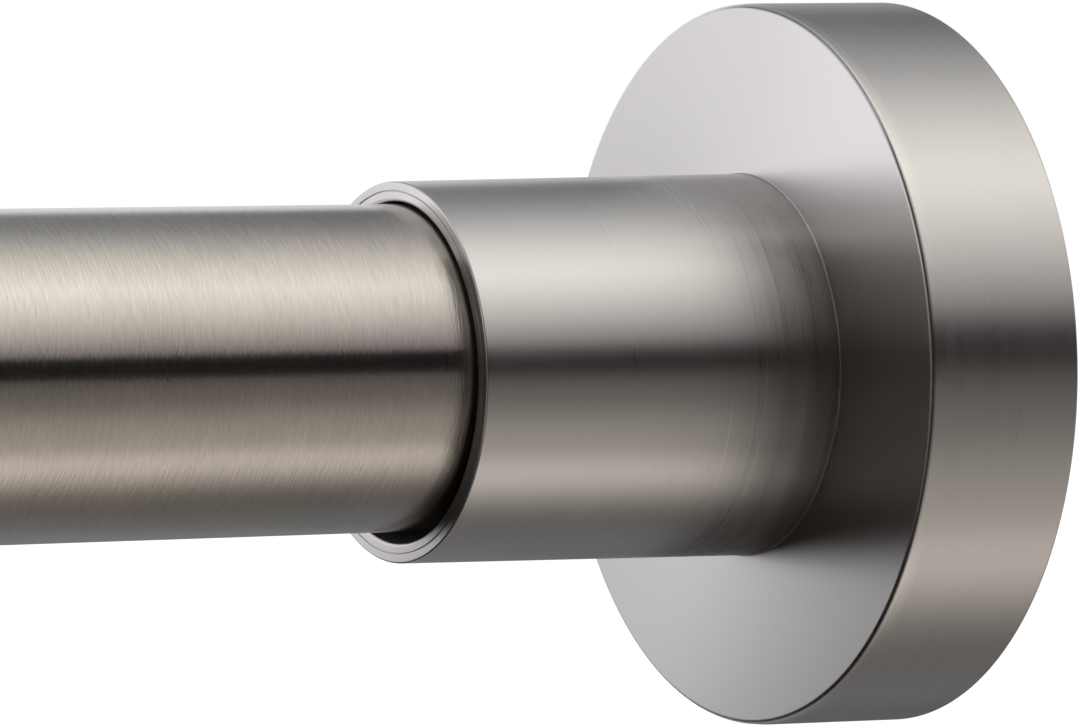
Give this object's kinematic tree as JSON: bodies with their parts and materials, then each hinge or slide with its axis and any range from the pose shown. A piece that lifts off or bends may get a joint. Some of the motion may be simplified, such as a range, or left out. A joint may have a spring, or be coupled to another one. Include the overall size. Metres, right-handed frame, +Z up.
{
  "type": "spring tension rod",
  "caption": "Telescoping spring tension rod with round wall flanges: a twist lock sets its length and a spring presses its padded ends against two facing walls.",
  "frame": {"origin": "centre of the right wall pad's outer face, which lies on the wall", "axes": "+X along the rod out of its right end into the wall, +Z up, +Y away from the viewer in the picture"},
  "size_m": [0.61, 0.0574, 0.0574],
  "materials": {
    "brushed_nickel": "brushed nickel plating, fine lines round the axis",
    "plain_steel": "plain zinc-plated steel",
    "spring_steel": "drawn spring wire",
    "moulded_plastic": "matt moulded plastic",
    "pad_rubber": "matt soft rubber"
  },
  "bodies": {
    "right_wall_end": {"right_flange": "brushed_nickel", "right_foot": "moulded_plastic", "right_wall_pad": "pad_rubber"},
    "outer_tube_set": {"outer_tube": "brushed_nickel", "right_end_plug": "moulded_plastic", "right_pivot_bolt": "plain_steel", "outer_tube_mouth_bush": "moulded_plastic"},
    "lock_body": {"lock_sleeve": "moulded_plastic"},
    "wedge": {"lock_wedge_nut": "plain_steel"},
    "plunger": {"plunger_rod": "plain_steel", "lock_stop_nut": "plain_steel"},
    "inner_tube_set": {"inner_tube": "brushed_nickel", "left_end_plug": "moulded_plastic", "left_pivot_bolt": "plain_steel", "guide_bush": "moulded_plastic", "spring": "spring_steel", "spring_stop": "moulded_plastic"},
    "left_wall_end": {"left_flange": "brushed_nickel", "left_foot": "moulded_plastic", "left_wall_pad": "pad_rubber"}
  },
  "joints": [
    {"name": "right_flange_swivel", "type": "hinge", "parent": "right_wall_end", "child": "outer_tube_set", "pos_m": [-0.03, 0, 0.00035], "axis": [1, 0, 0], "continuous": true},
    {"name": "telescope", "type": "slide", "parent": "outer_tube_set", "child": "lock_body", "axis": [-1, 0, 0], "range_m": [0, 0.305]},
    {"name": "twist_lock", "type": "hinge", "parent": "lock_body", "child": "plunger", "pos_m": [-0.07, 0, 0.00035], "axis": [-1, 0, 0], "range_deg": [0, 270]},
    {"name": "wedge_travel", "type": "slide", "parent": "lock_body", "child": "wedge", "axis": [-1, 0, 0], "range_m": [0, 0.0019]},
    {"name": "spring_travel", "type": "slide", "parent": "plunger", "child": "inner_tube_set", "axis": [1, 0, 0], "range_m": [0, 0.025], "stiffness_N_per_m": 1600, "springref_m": -0.01, "deforming": ["spring"]},
    {"name": "left_flange_swivel", "type": "hinge", "parent": "inner_tube_set", "child": "left_wall_end", "pos_m": [-0.58, 0, 0.00035], "axis": [1, 0, 0], "continuous": true}
  ],
  "couplings": [
    {"joint": "wedge_travel", "follows": "twist_lock", "m_per_rad": 0.00039789}
  ]
}
